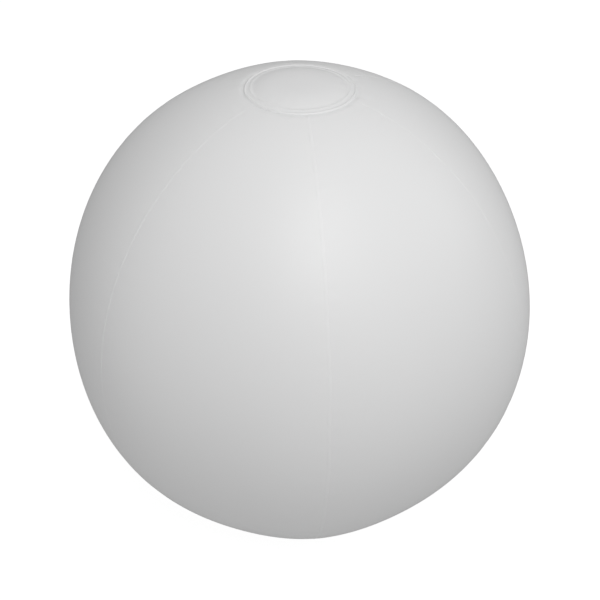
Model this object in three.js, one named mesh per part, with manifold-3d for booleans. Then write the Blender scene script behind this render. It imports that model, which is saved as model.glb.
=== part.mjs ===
// Inflatable floating globe light, in millimetres, +Z up.
// Six vinyl gores and two welded polar discs make the globe. The lower disc carries a soft socket, and a round
// battery light unit sits in it and shines up through a clear window. The light unit's foot is the lowest face,
// at Z = 0, on the globe's axis. An inflation valve is recessed in the lower part of the rear gore.
import * as THREE from "three";
import { mergeVertices } from "three/addons/utils/BufferGeometryUtils.js";
import Module from "manifold-3d";

// ---------- Driving dimensions ----------
const GLOBE_WIDTH = 350; // across two opposite seams at the equator
const GLOBE_HEIGHT = 363; // between the poles of the ellipsoid that the skin follows
const GORES = 6;
const GORE_FLATNESS = 0.018; // how much nearer the axis a gore's middle is than its seams
const FILM = 0.4; // vinyl thickness
const GAP = 0.3; // clearance between pieces that lie on each other
const SEAM_LAP = 4; // width of the strip that runs under the next gore
const TOP_DISC_R = 40.2;
const TOP_HOLE_R = 36; // where the gores end under the top disc
const TOP_DOME_RISE = 3.2;
const BOTTOM_DISC_R = 50;
const BOTTOM_HOLE_R = 45.5; // where the gores end over the bottom disc
const SOCKET_R = 35.6; // bore of the soft socket
const SOCKET_WALL = 1.6;
const SOCKET_TOP = 38.2;
const UNIT_R = 35; // outside of the light unit
const BORE_R = 31.4; // inside of its housing, past the thread
const THREAD_PITCH = 4;
const CELL_D = 10.5;
const CELL_L = 44.5;
const CELL_SPACING = 10.9;
const CELL_Z = 20;
const VALVE_TILT = -45; // the valve looks down and back, degrees above the horizon

const SEGMENTS = 32;
const TAU = 2 * Math.PI;
const A = GLOBE_WIDTH / 2;
const C = GLOBE_HEIGHT / 2;
const GORE_ANGLE = TAU / GORES;
const rad = THREE.MathUtils.degToRad;

const wasm = await Module();
wasm.setup();

// ---------- Solids ----------
function solidOf(geometry) {
  const bare = geometry.clone();
  bare.deleteAttribute("normal");
  bare.deleteAttribute("uv");
  const merged = mergeVertices(bare, 1e-3);
  const triVerts = new Uint32Array(merged.index.array);
  return new wasm.Manifold(new wasm.Mesh({ numProp: 3, vertProperties: merged.attributes.position.array, triVerts }));
}

function geometryOf(solid) {
  const mesh = solid.getMesh();
  const geometry = new THREE.BufferGeometry();
  geometry.setAttribute("position", new THREE.BufferAttribute(mesh.vertProperties, 3));
  geometry.setIndex(new THREE.BufferAttribute(mesh.triVerts, 1));
  geometry.computeVertexNormals();
  return geometry;
}

const join = (first, ...others) =>
  geometryOf(others.reduce((sum, part) => sum.add(solidOf(part)), solidOf(first)));
const cut = (first, ...others) =>
  geometryOf(others.reduce((sum, part) => sum.subtract(solidOf(part)), solidOf(first)));

// A profile of [radius, z] pairs, turned about Z. It runs upwards on the outside and closes on itself or on the axis.
function turned(profile, segments = SEGMENTS) {
  const points = profile.map(([r, z]) => new THREE.Vector2(r, z));
  const closed = profile[0][0] > 0 || profile.at(-1)[0] > 0;
  if (closed) points.push(points[0].clone());
  return new THREE.LatheGeometry(points, segments).rotateX(Math.PI / 2).rotateZ(Math.PI / 2);
}

const ring = (inner, outer, low, high, segments) =>
  turned([[inner, low], [outer, low], [outer, high], [inner, high]], segments);

function disc(radius, low, high, segments = 24) {
  return new THREE.CylinderGeometry(radius, radius, high - low, segments)
    .rotateX(Math.PI / 2)
    .translate(0, 0, (low + high) / 2);
}

function block(sizeX, sizeY, low, high) {
  return new THREE.BoxGeometry(sizeX, sizeY, high - low).translate(0, 0, (low + high) / 2);
}

function sealRing(radius, thickness, height, sides = 6) {
  return new THREE.TorusGeometry(radius, thickness / 2, sides, SEGMENTS).translate(0, 0, height);
}

// A round wire that winds about Z while its radius and height change evenly from start to end.
function coil(turns, [startRadius, startZ], [endRadius, endZ], wire) {
  const steps = turns * 8;
  const points = Array.from({ length: steps + 1 }, (_, i) => {
    const t = i / steps;
    const radius = startRadius + (endRadius - startRadius) * t;
    const angle = turns * TAU * t;
    return new THREE.Vector3(radius * Math.cos(angle), radius * Math.sin(angle), startZ + (endZ - startZ) * t);
  });
  const section = new THREE.Shape().absarc(0, 0, wire / 2, 0, TAU);
  const extrudePath = new THREE.CatmullRomCurve3(points);
  return new THREE.ExtrudeGeometry(section, { steps, curveSegments: 3, extrudePath });
}

// A screw thread's rib about Z: a box bent round a right-hand helix, from the root radius to the narrower crest.
// Its steps are half a facet out of phase with the turned surfaces that it stands on.
function threadRib(root, crest, firstTurn, turns, zAtZero) {
  const rootWidth = 1.8;
  const crestWidth = 0.9;
  const rib = new THREE.BoxGeometry(1, 1, 1, turns * SEGMENTS, 1, 1);
  const place = rib.attributes.position;
  const inward = crest < root;
  for (let i = 0; i < place.count; i++) {
    const angle = (firstTurn + (place.getX(i) + 0.5) * turns + 0.5 / SEGMENTS) * TAU;
    const outer = place.getZ(i) > 0;
    const radius = outer === inward ? root : crest;
    const width = outer === inward ? rootWidth : crestWidth;
    const height = zAtZero + (THREAD_PITCH * angle) / TAU + place.getY(i) * width;
    place.setXYZ(i, radius * Math.cos(angle), radius * Math.sin(angle), height);
  }
  return rib;
}

// ---------- The globe's skin ----------
const discEdge = (radius) => Math.acos(radius / A); // latitude where the skin is this far from the axis

// 1 over most of the globe and 0 near the discs, where the gores are gathered into a circle.
const gatherFade = (latitude) => THREE.MathUtils.smoothstep(Math.cos(latitude), 0.28, 0.62);

// A point of the skin at a latitude and a longitude, offset outwards by a distance.
function skinPoint(latitude, longitude, offset) {
  const across = ((longitude / GORE_ANGLE) % 1 + 1) % 1; // 0 and 1 on the seams, 0.5 in a gore's middle
  const slack = 1 - (2 * across - 1) ** 2;
  const radius = A * Math.cos(latitude) * (1 - GORE_FLATNESS * slack * gatherFade(latitude));
  const normal = new THREE.Vector2(C * Math.cos(latitude), A * Math.sin(latitude)).normalize();
  const r = radius + offset * normal.x;
  return new THREE.Vector3(r * Math.cos(longitude), r * Math.sin(longitude), C + C * Math.sin(latitude) + offset * normal.y);
}

// Height of the skin above its lower pole, at a distance from the axis.
const rise = (radius) => C - C * Math.sqrt(1 - (radius / A) ** 2);

// One gore: a thin box wrapped round the skin. Its far edge steps inwards and runs on under the next gore.
function gore(seamLongitude) {
  const rows = 18;
  const innerColumns = 6;
  const columns = innerColumns + 4;
  const low = -discEdge(BOTTOM_HOLE_R);
  const high = discEdge(TOP_HOLE_R);
  const skin = new THREE.BoxGeometry(1, 1, 1, columns, rows, 1);
  const place = skin.attributes.position;
  const under = -(FILM + GAP);
  for (let i = 0; i < place.count; i++) {
    const column = Math.round((place.getX(i) + 0.5) * columns);
    const latitude = low + (place.getY(i) + 0.5) * (high - low);
    const lap = SEAM_LAP / (A * Math.cos(latitude));
    const perMm = lap / SEAM_LAP;
    const stops = [
      [GAP * perMm, 0],
      ...Array.from({ length: innerColumns + 1 }, (_, k) => {
        const t = k / innerColumns;
        return [lap + t * (GORE_ANGLE - lap - 1.5 * perMm), 0];
      }),
      [GORE_ANGLE, under],
      [GORE_ANGLE + lap, under],
    ];
    const [along, step] = stops[Math.min(column, stops.length - 1)];
    const depth = place.getZ(i) > 0 ? 0 : -FILM;
    const point = skinPoint(latitude, seamLongitude + along, step + depth);
    place.setXYZ(i, point.x, point.y, point.z);
  }
  return skin;
}

// The top disc lies over the gores' ends and bulges inside its weld ring.
function topDisc() {
  const lie = (radius, offset) => [radius, GLOBE_HEIGHT - rise(radius) + offset];
  const pillowR = TOP_HOLE_R - 0.6;
  const base = lie(pillowR, GAP)[1];
  const pillow = (share, offset) => {
    const radius = pillowR * share;
    return [radius, base + TOP_DOME_RISE * (1 - share ** 2) ** 0.7 + offset];
  };
  const shares = [0.93, 0.78, 0.45, 0];
  return turned([
    ...shares.toReversed().map((share) => pillow(share, 0)),
    lie(pillowR, GAP),
    lie(TOP_DISC_R, GAP),
    lie(TOP_DISC_R, GAP + FILM),
    lie(pillowR, GAP + FILM),
    ...shares.map((share) => pillow(share, FILM)),
  ]);
}

// The bottom disc is a ring: it lies over the gores' lower ends, with the light's opening in its middle.
function bottomDisc() {
  const openingR = SOCKET_R + SOCKET_WALL + 0.8;
  const lie = (radius, offset) => [radius, rise(radius) - offset];
  return turned([
    lie(openingR, GAP + FILM),
    lie(BOTTOM_HOLE_R, GAP + FILM),
    lie(BOTTOM_DISC_R, GAP + FILM),
    lie(BOTTOM_DISC_R, GAP),
    lie(BOTTOM_HOLE_R, GAP),
    lie(openingR, GAP),
  ]);
}

// A soft cup, open below, with a weld flange that lies on the inside of the bottom disc.
function lightSocket() {
  const outer = SOCKET_R + SOCKET_WALL;
  const flangeR = BOTTOM_HOLE_R - 0.6;
  const flange = 1.2;
  return turned([
    [SOCKET_R, 2.6],
    [outer, 2.6],
    [outer, rise(outer)],
    [flangeR, rise(flangeR)],
    [flangeR, rise(flangeR) + flange],
    [outer, rise(outer) + flange],
    [outer, SOCKET_TOP],
    [SOCKET_R, SOCKET_TOP],
  ]);
}

// ---------- The light unit ----------
const THREAD_BORE_R = 32.3;
const LEDGE_Z = 26.4; // underside of the ledge that carries the LED board
const BOARD_Z = 27.9;
const BOARD_SCREW_R = 26.8;
const MALE_THREAD_Z = 6.9;

function lightHousing() {
  const shell = turned([
    [32.9, 0],
    [34.2, 0],
    [UNIT_R, 0.8],
    [UNIT_R, 33.4],
    [33.4, 33.4],
    [33.4, 30],
    [BORE_R, 30],
    [BORE_R, LEDGE_Z + 1.2],
    [28.6, LEDGE_Z + 1.2],
    [28.6, LEDGE_Z],
    [BORE_R, LEDGE_Z],
    [BORE_R, 12.6],
    [THREAD_BORE_R, 12.6],
    [THREAD_BORE_R, 5.4],
    [32.6, 5.4],
    [32.6, 0.4],
  ]);
  const rib = threadRib(32.6, 31, -0.625, 1.25, MALE_THREAD_Z + THREAD_PITCH / 2);
  const bosses = [-1, 1].flatMap((side) => [
    disc(3, 20, LEDGE_Z + 1.2, 16).translate(0, side * BOARD_SCREW_R, 0),
    block(6, 3, 20, LEDGE_Z + 1.2).translate(0, side * 30.5, 0),
  ]);
  const holes = [-1, 1].map((side) => disc(1.15, 22.6, 30, 12).translate(0, side * BOARD_SCREW_R, 0));
  return cut(join(shell, rib, ...bosses), ...holes);
}

function lens() {
  const outside = [[30.4, 33.1], [28.8, 34.6], [22, 36.2], [12, 37.2], [0, 37.5]];
  const inside = [[0, 36.1], [12, 35.8], [22, 34.7], [27.6, 33.2], [28.6, 31.8]];
  return turned([...inside, [33.1, 31.8], [33.1, 33.1], ...outside]);
}

const lensRing = () =>
  turned([
    [30.9, 33.4],
    [33.1, 33.4],
    [33.1, 33.7],
    [UNIT_R, 33.7],
    [UNIT_R, 34.4],
    [34.2, 35.2],
    [32, 35.2],
    [30.9, 34.6],
  ]);

const ledPlace = (i) => [16 * Math.cos(rad(60 * i + 30)), 16 * Math.sin(rad(60 * i + 30))];

function reflector() {
  const dish = turned([[0, 30.2], [23.2, 30.2], [24, 31.4], [23, 31.4], [22.4, 30.8], [0, 30.8]]);
  const holes = Array.from({ length: GORES }, (_, i) => disc(3, 29, 32, 12).translate(...ledPlace(i), 0));
  return cut(dish, ...holes);
}

function ledBoard() {
  const holes = [-1, 1].map((side) => disc(1.15, 27, 30, 12).translate(0, side * BOARD_SCREW_R, 0));
  return cut(disc(30.9, BOARD_Z, BOARD_Z + 1.6, SEGMENTS), ...holes);
}

const boardScrew = () =>
  turned([[0, 23.2], [0.85, 23.8], [0.85, 29.8], [1.9, 29.8], [1.9, 30.4], [1.3, 31], [0, 31]], 12);

function cellTray() {
  const floor = disc(30.4, 12.9, 14.4, SEGMENTS);
  const walls = [-1, 1].map((side) => block(1.6, 25.6, 14, 25.6).translate(side * 26.7, 0, 0));
  const dividers = [-1, 1].map((side) => block(52, 1, 14, 17).translate(0, (side * CELL_SPACING) / 2, 0));
  return join(floor, ...walls, ...dividers);
}

// A round cell that lies along X, with its nub at +X.
function cell() {
  const half = CELL_L / 2;
  const r = CELL_D / 2;
  const profile = [[0, -half], [r - 0.5, -half], [r, 0.5 - half], [r, half - 1.6], [r - 0.6, half - 1], [1.9, half - 1], [1.9, half], [0, half]];
  return turned(profile, 20).rotateY(Math.PI / 2);
}

function contactPlate() {
  const plate = new THREE.BoxGeometry(0.4, 7, 8.4).translate(25.4, 0, 0.6);
  const boss = new THREE.CylinderGeometry(1.4, 2.4, 2.8, 12).rotateZ(Math.PI / 2).translate(23.9, 0, 0);
  return join(plate, boss);
}

const contactSpring = () => coil(2.5, [2.2, 22.9], [3.5, 25.3], 0.7).rotateY(Math.PI / 2);

function batteryCap() {
  const body = turned([
    [7.2, 0.9],
    [31.6, 0.9],
    [32.1, 1.4],
    [32.1, 3.4],
    [30.6, 3.4],
    [30.6, 12],
    [28.9, 12],
    [28.9, 3.4],
    [7.2, 3.4],
  ]);
  const rib = threadRib(30.3, 31.9, 0, 1, MALE_THREAD_Z);
  const posts = [90, 210, 330].map((angle) => disc(2.2, 3, 8.3, 12).translate(20.5, 0, 0).rotateZ(rad(angle)));
  const grips = [-1, 1].map((side) => disc(6.5, 0, 2.2, 20).translate(side * 19, 0, 0));
  return cut(join(body, rib, ...posts), ...grips);
}

const powerButton = () => turned([[0, 1.3], [5.4, 1.3], [6.6, 2], [6.6, 4.5], [0, 4.5]], 24);

const switchBody = () => cut(block(9, 9, 5.2, 8.3), disc(2.2, 5, 7.9, 12));

function switchRingContact() {
  const track = ring(14, 18, 10.3, 10.6, 24);
  const fingers = [0, 120, 240].map((angle) => disc(1.3, 10.4, 12, 10).translate(16, 0, 0).rotateZ(rad(angle)));
  return join(track, ...fingers);
}

// ---------- The valve, in its own frame: +Z points out of the globe, and 0 is the skin ----------
const VALVE_HOLE_R = 11.4;

const valveFlange = () =>
  turned([[9, -3], [16, -3], [16, -2.3], [11.1, -2], [10.8, -0.2], [10.3, 0.2], [9.6, 0.2], [9, -0.2]], 32);

const valveStem = () => turned([[3.4, -15], [5.2, -15], [5.8, -14.4], [5.8, -3.2], [5.5, -3], [3.4, -3]], 24);

const valveSkirt = () => turned([[6.1, -4.4], [8.7, -3.9], [8.7, -3.2], [6.1, -3.7]], 24);

const valveFlap = () => disc(5, -15.9, -15.3, 20);

const valvePlug = () =>
  turned([[0, -9], [2.5, -9], [3.05, -8.2], [3.05, -2.7], [5.6, -2.7], [5.6, -1.7], [4.8, -1.1], [0, -0.9]], 24);

function plugStrap() {
  const band = new THREE.Shape().absarc(0, 0, 7.5, 0, Math.PI).absarc(0, 0, 6.3, Math.PI, 0, true);
  return new THREE.ExtrudeGeometry(band, { depth: 0.8, bevelEnabled: false, curveSegments: 16 }).translate(0, 0, -2.6);
}

// ---------- Finishes ----------
const finish = (color, roughness, metalness = 0, more = {}) =>
  new THREE.MeshStandardMaterial({ color, roughness, metalness, ...more });
const whiteVinyl = finish(0xdcdcdc, 0.5);
const softVinyl = finish(0xe8eaea, 0.35, 0, { transparent: true, opacity: 0.8 });
const whiteShell = finish(0xe6e6e4, 0.38);
const frostedLens = finish(0xf2f4f5, 0.3, 0, { transparent: true, opacity: 0.6 });
const silicone = finish(0xb8bcc0, 0.6);
const brightReflector = finish(0xe8e8ea, 0.2, 0.6);
const circuitBoard = finish(0xe9ece8, 0.45);
const ledPackage = finish(0xf4e9a8, 0.35);
const blackPlastic = finish(0x222326, 0.45);
const nickel = finish(0xb9bbbd, 0.3, 1);
const cellJacket = finish(0x4a5157, 0.35, 0.4);

// ---------- Assembly ----------
const light = new THREE.Group();
const globe = new THREE.Group();
const lightUnit = new THREE.Group();
const valve = new THREE.Group();
light.add(globe, lightUnit, valve);

function add(group, name, geometry, material, position = [0, 0, 0], turn = 0) {
  const mesh = new THREE.Mesh(geometry, material);
  mesh.name = name;
  mesh.position.set(...position);
  mesh.rotation.z = turn;
  group.add(mesh);
}

// The valve stands on the rear gore's middle line, where the skin faces VALVE_TILT.
const valveLatitude = Math.atan((C / A) * Math.tan(rad(VALVE_TILT)));
const valvePoint = skinPoint(valveLatitude, rad(90), 0);
valve.position.copy(valvePoint);
valve.rotation.x = rad(VALVE_TILT - 90);

const goreNames = ["rear_right", "rear", "rear_left", "front_left", "front", "front_right"];
goreNames.forEach((side, i) => {
  let skin = gore(i * GORE_ANGLE);
  if (side === "rear") {
    const hole = disc(VALVE_HOLE_R, -20, 20, 32).rotateX(valve.rotation.x).translate(...valvePoint.toArray());
    skin = cut(skin, hole);
  }
  add(globe, `gore_${side}`, skin, whiteVinyl);
});
add(globe, "top_disc", topDisc(), whiteVinyl);
add(globe, "bottom_disc", bottomDisc(), whiteVinyl);
add(globe, "light_socket", lightSocket(), softVinyl);
add(globe, "socket_window", disc(SOCKET_R + SOCKET_WALL, SOCKET_TOP + GAP, SOCKET_TOP + GAP + 0.5, SEGMENTS), softVinyl);

add(lightUnit, "light_housing", lightHousing(), whiteShell);
add(lightUnit, "lens", lens(), frostedLens);
add(lightUnit, "lens_ring", lensRing(), whiteShell);
add(lightUnit, "lens_seal", sealRing(32.4, 1.1, 30.9), silicone);
add(lightUnit, "reflector", reflector(), brightReflector);
add(lightUnit, "led_board", ledBoard(), circuitBoard);
for (let i = 0; i < GORES; i++) {
  add(lightUnit, `led_${i + 1}`, block(3.5, 3.5, 29.8, 31), ledPackage, [...ledPlace(i), 0], rad(60 * i + 30));
}
add(lightUnit, "driver_chip", block(5, 6.2, 26, 27.6), blackPlastic, [0, 0, 0]);
[-1, 1].forEach((side, i) => {
  add(lightUnit, `board_screw_${i + 1}`, boardScrew(), nickel, [0, side * BOARD_SCREW_R, 0]);
  add(lightUnit, `board_pin_${i + 1}`, disc(0.8, 25.9, 27.6, 10), nickel, [25.4, side * CELL_SPACING, 0]);
});

add(lightUnit, "cell_tray", cellTray(), blackPlastic);
[-1, 0, 1].forEach((row, i) => {
  // The middle cell lies the other way round, so that the three are in series.
  const turn = row === 0 ? Math.PI : 0;
  const place = [0, row * CELL_SPACING, CELL_Z];
  add(lightUnit, `cell_${i + 1}`, cell(), cellJacket, place, turn);
  add(lightUnit, `contact_plate_${i + 1}`, contactPlate(), nickel, place, turn);
  add(lightUnit, `contact_spring_${i + 1}`, contactSpring(), nickel, place, turn + Math.PI);
});
add(lightUnit, "tray_ring_track", ring(14, 18, 12.3, 12.6, 24), nickel);
add(lightUnit, "tray_centre_pad", disc(5, 12.3, 12.6), nickel);

add(lightUnit, "battery_cap", batteryCap(), whiteShell);
add(lightUnit, "cap_seal", sealRing(31.5, 1.1, 4.5), silicone);
add(lightUnit, "power_button", powerButton(), silicone);
add(lightUnit, "button_diaphragm", ring(6.9, 11.5, 3.7, 4.3, 24), silicone);
add(lightUnit, "switch_body", switchBody(), blackPlastic);
add(lightUnit, "switch_plunger", disc(1.9, 4.8, 6.6, 12), silicone);
add(lightUnit, "switch_board", disc(24, 8.6, 10, SEGMENTS), circuitBoard);
add(lightUnit, "switch_spring", coil(2.5, [4, 10.7], [2.2, 11.8], 0.6), nickel);
add(lightUnit, "switch_ring_contact", switchRingContact(), nickel);

add(valve, "valve_flange", valveFlange(), softVinyl);
add(valve, "valve_stem", valveStem(), softVinyl);
add(valve, "valve_skirt", valveSkirt(), softVinyl);
add(valve, "valve_flap", valveFlap(), softVinyl);
add(valve, "valve_plug", valvePlug(), softVinyl);
add(valve, "plug_strap", plugStrap(), softVinyl);

export default light;
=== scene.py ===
"""Floating globe light: the finished look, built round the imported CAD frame.

An inflated ball of six welded vinyl gores, closed by a welded disc at each pole. The lower disc carries a
soft socket with the battery light unit, and the rear gore holds the inflation valve.
"""

import math

import bmesh
import bpy
import numpy as np
from mathutils import Matrix, Vector


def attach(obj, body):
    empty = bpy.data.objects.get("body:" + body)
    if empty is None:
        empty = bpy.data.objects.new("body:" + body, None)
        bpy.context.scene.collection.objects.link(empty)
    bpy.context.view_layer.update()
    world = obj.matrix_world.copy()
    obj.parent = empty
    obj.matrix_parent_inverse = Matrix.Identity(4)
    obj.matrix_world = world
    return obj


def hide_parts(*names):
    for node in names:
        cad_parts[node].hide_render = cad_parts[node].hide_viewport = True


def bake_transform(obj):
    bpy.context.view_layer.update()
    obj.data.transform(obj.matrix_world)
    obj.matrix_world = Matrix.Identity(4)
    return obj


bl_info = {
    "name": "Floating globe light",
    "version": (1, 0, 0),
    "blender": (4, 5, 0),
    "location": "3D View > Sidebar > Globe Light",
    "description": "Builds an inflatable floating globe light around its CAD frame",
    "category": "Add Mesh",
}

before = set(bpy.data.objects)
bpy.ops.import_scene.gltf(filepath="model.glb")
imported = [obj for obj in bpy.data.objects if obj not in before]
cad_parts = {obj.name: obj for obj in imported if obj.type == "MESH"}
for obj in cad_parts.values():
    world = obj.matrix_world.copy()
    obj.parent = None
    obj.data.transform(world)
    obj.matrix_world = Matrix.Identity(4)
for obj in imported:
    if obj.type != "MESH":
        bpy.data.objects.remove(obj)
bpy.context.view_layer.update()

MM = 0.001
TAU = 2 * math.pi

# ------------------------------------------------ sizes shared by several pieces, in millimetres
GORE_SIDES = ("rear_right", "rear", "rear_left", "front_left", "front", "front_right")
GORES = len(GORE_SIDES)
GORE_ANGLE = TAU / GORES
FILM = 0.4
TOP_DISC_R, TOP_HOLE_R, DOME_R = 40.2, 36.0, 33.0
BOTTOM_DISC_R, BOTTOM_HOLE_R, OPENING_R = 50.0, 45.5, 38.0
SOCKET_R, SOCKET_WALL, SOCKET_TOP = 35.6, 1.6, 38.2
UNIT_R = 35.0
PITCH = 4.0  # of the thread between the light unit and its battery cap
VALVE_TILT = math.radians(-45)
VALVE_HOLE_R, VALVE_WELD_R = 11.4, 16.4
TUBE_R = 5.8  # the outside of the valve's tube
CELL_SPACING, CELL_Z, CONTACT_X = 10.9, 20.0, 25.4
LED_CIRCLE, LED_ANGLES = 16.0, (30, 90, 150, 210, 270, 330)  # the radius they stand on, and their turns
SCREW_CIRCLE, SCREW_ANGLES, SCREW_HOLE_R = 26.8, (270, 90), 1.15
TRACK_IN, TRACK_OUT = 14.0, 18.0  # the ring track under the tray, and the ring on the cap that faces it


class SkinSettings(bpy.types.PropertyGroup):
    """Sizes of the inflated skin."""

    width: bpy.props.FloatProperty(
        name="Width", description="Across two opposite seams at the equator", default=0.350, unit="LENGTH"
    )
    height: bpy.props.FloatProperty(
        name="Height", description="Between the poles of the ellipsoid", default=0.363, unit="LENGTH"
    )
    seam_width: bpy.props.FloatProperty(
        name="Seam width", description="Width of a welded seam band", default=0.0025, unit="LENGTH"
    )
    seam_dip: bpy.props.FloatProperty(
        name="Seam dip", description="How deep the film dips at a seam", default=0.00005, unit="LENGTH"
    )
    pucker: bpy.props.FloatProperty(
        name="Pucker",
        description="Height of the small puckers beside the welds",
        default=0.00016, unit="LENGTH",
    )
    dome_rise: bpy.props.FloatProperty(
        name="Dome rise",
        description="How far the top disc bulges inside its weld",
        default=0.004, unit="LENGTH",
    )


class FinishSettings(bpy.types.PropertyGroup):
    """Colours of the finishes."""

    vinyl: bpy.props.FloatVectorProperty(
        name="Vinyl",
        description="The white film of the globe",
        subtype="COLOR", default=(0.85, 0.851, 0.852),
    )
    # A little lighter than the vinyl: partly the doubled film, partly a painted light line along the welds.
    weld: bpy.props.FloatVectorProperty(
        name="Weld",
        description="The doubled film of a weld",
        subtype="COLOR", default=(0.866, 0.867, 0.868),
    )
    shell: bpy.props.FloatVectorProperty(
        name="Shell",
        description="The moulded plastic of the light unit",
        subtype="COLOR", default=(0.8, 0.8, 0.785),
    )
    floor: bpy.props.FloatVectorProperty(
        name="Floor",
        description="The pale studio floor",
        subtype="COLOR", default=(0.25, 0.25, 0.25),
    )


class StageSettings(bpy.types.PropertyGroup):
    """The camera and the studio lights."""

    azimuth: bpy.props.FloatProperty(
        name="Azimuth",
        description="Camera's turn round the globe",
        default=math.radians(22.9), subtype="ANGLE",
    )
    elevation: bpy.props.FloatProperty(
        name="Elevation",
        description="Camera's height above the horizon",
        default=math.radians(32.0), subtype="ANGLE",
    )
    distance: bpy.props.FloatProperty(
        name="Distance", description="Camera to the globe's centre", default=1.5, unit="LENGTH"
    )
    lens: bpy.props.FloatProperty(
        name="Lens", description="Focal length on a 36 mm sensor", default=119.26, unit="CAMERA"
    )
    key: bpy.props.FloatProperty(
        name="Key light", description="Power of the main soft light", default=14.9, unit="POWER"
    )
    ambient: bpy.props.FloatProperty(
        name="Ambient", description="Strength of the even studio light", default=0.4
    )


# ------------------------------------------------ mesh helpers, in millimetres
def add_mesh(name, points, faces, material, matrix=None):
    """A new piece in the scene, from points in millimetres."""
    points = np.asarray(points, float).reshape(-1, 3) * MM
    mesh = bpy.data.meshes.new(name)
    mesh.from_pydata(points.tolist(), [], faces)
    if matrix is not None:
        mesh.transform(matrix)
    mesh.materials.append(material)
    piece = bpy.data.objects.new(name, mesh)
    bpy.context.scene.collection.objects.link(piece)
    return piece


def tidy_mesh(piece):
    """Merges doubled points, drops collapsed faces and turns every face outwards."""
    work = bmesh.new()
    work.from_mesh(piece.data)
    bmesh.ops.remove_doubles(work, verts=work.verts, dist=2e-6)
    bmesh.ops.dissolve_degenerate(work, edges=work.edges, dist=1e-7)
    bmesh.ops.recalc_face_normals(work, faces=work.faces)
    work.to_mesh(piece.data)
    work.free()


def apply_modifiers(piece):
    """Swaps the mesh for its modified shape."""
    shape = bpy.data.meshes.new_from_object(piece.evaluated_get(bpy.context.evaluated_depsgraph_get()))
    old = piece.data
    piece.modifiers.clear()
    piece.data = shape
    bpy.data.meshes.remove(old)


def combine(piece, operation, *others):
    """Joins the other solids to the piece, or cuts them out of it, one after the other."""
    for other in others:
        tidy_mesh(other)
        step = piece.modifiers.new(operation.title(), "BOOLEAN")
        step.operation, step.solver, step.object = operation, "EXACT", other
        apply_modifiers(piece)
        bpy.data.objects.remove(other)
    return piece


def thicken(piece, depth=FILM):
    """Gives a film its thickness, inwards from the outer face."""
    step = piece.modifiers.new("Film", "SOLIDIFY")
    step.thickness, step.offset = depth * MM, -1
    apply_modifiers(piece)
    return piece


def place(piece, body, slot, *nodes, sharp=32):
    """Shades the piece, and ties it to its CAD body and the nodes that it stands for. Its slot, the finish, is
    not used.
    """
    tidy_mesh(piece)
    piece.data.shade_smooth()
    piece.data.set_sharp_from_angle(angle=math.radians(sharp))
    if nodes:
        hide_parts(*nodes)
    if body:
        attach(piece, body)
    return piece


def grid_faces(rows, columns, wrap_rows=False, wrap_columns=False):
    """The four-sided faces between the points of a grid, which may close on itself either way."""
    faces = []
    for i in range(rows if wrap_rows else rows - 1):
        for j in range(columns if wrap_columns else columns - 1):
            a, b = i * columns + j, i * columns + (j + 1) % columns
            c, d = (i + 1) % rows * columns + (j + 1) % columns, (i + 1) % rows * columns + j
            faces.append((a, b, c, d))
    return faces


def eased(outline, radius, steps=4, closed=True):
    """A polygon's corners rounded off. A point may carry its own radius as a third number."""
    corners = [(np.array(p[:2], float), p[2] if len(p) > 2 else radius) for p in outline]
    result = []
    for i, (here, reach) in enumerate(corners):
        if not closed and i in (0, len(corners) - 1):
            result.append(here)
            continue
        before, after = corners[i - 1][0] - here, corners[(i + 1) % len(corners)][0] - here
        long_before, long_after = np.linalg.norm(before), np.linalg.norm(after)
        trim = min(reach, 0.45 * long_before, 0.45 * long_after)
        if trim < 1e-3:
            result.append(here)
            continue
        start, end = here + before / long_before * trim, here + after / long_after * trim
        for t in np.linspace(0, 1, steps + 1):
            result.append((1 - t) ** 2 * start + 2 * t * (1 - t) * here + t**2 * end)
    return result


def revolve(name, outline, material, radius=0.25, segments=96, matrix=None):
    """A profile of (radius, height) pairs turned about Z. It closes on itself or on the axis."""
    on_axis = outline[0][0] == 0 and outline[-1][0] == 0
    profile = eased(outline, radius, closed=not on_axis)
    angles = np.arange(segments) * TAU / segments
    points = [(r * np.cos(angles), r * np.sin(angles), np.full(segments, z)) for r, z in profile]
    points = np.array(points).transpose(0, 2, 1).reshape(-1, 3)
    faces = grid_faces(len(profile), segments, wrap_rows=not on_axis, wrap_columns=True)
    piece = add_mesh(name, points, faces, material, matrix)
    tidy_mesh(piece)
    return piece


def rod(radius, low, high, bore=0):
    """The outline of a plain cylinder, or of a ring where it has a bore."""
    return [(bore, low), (radius, low), (radius, high), (bore, high)]


def turned(name, outline, slot, body, node_name, radius=0.25, segments=96, matrix=None):
    """A revolved piece that needs no more work: finished, and tied to its body and its CAD node."""
    return place(revolve(name, outline, finish(slot), radius, segments, matrix), body, slot, node_name)


def sweep(name, path, ups, section, material, closed=False, matrix=None):
    """A section of (side, up) pairs carried along a path. It may be one outline, or one for each point."""
    path, ups = np.asarray(path, float), np.asarray(ups, float)
    section = np.asarray(section, float)
    if section.ndim == 2:
        section = np.repeat(section[None], len(path), axis=0)
    if closed:
        tangent = np.roll(path, -1, axis=0) - np.roll(path, 1, axis=0)
    else:
        tangent = np.gradient(path, axis=0)
    tangent /= np.linalg.norm(tangent, axis=1, keepdims=True)
    side = np.cross(tangent, ups)
    side /= np.linalg.norm(side, axis=1, keepdims=True)
    up = np.cross(side, tangent)
    points = path[:, None] + section[..., :1] * side[:, None] + section[..., 1:] * up[:, None]
    rows, columns = len(path), section.shape[1]
    faces = grid_faces(rows, columns, wrap_rows=closed, wrap_columns=True)
    if not closed:
        faces += [tuple(range(columns)), tuple(range((rows - 1) * columns, rows * columns))[::-1]]
    piece = add_mesh(name, points, faces, material, matrix)
    tidy_mesh(piece)
    return piece


def strip(width, thickness, radius):
    """The section of a flat strap, with rounded edges."""
    x, y = width / 2, thickness / 2
    return eased([(-x, -y), (x, -y), (x, y), (-x, y)], radius, 3)


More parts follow.
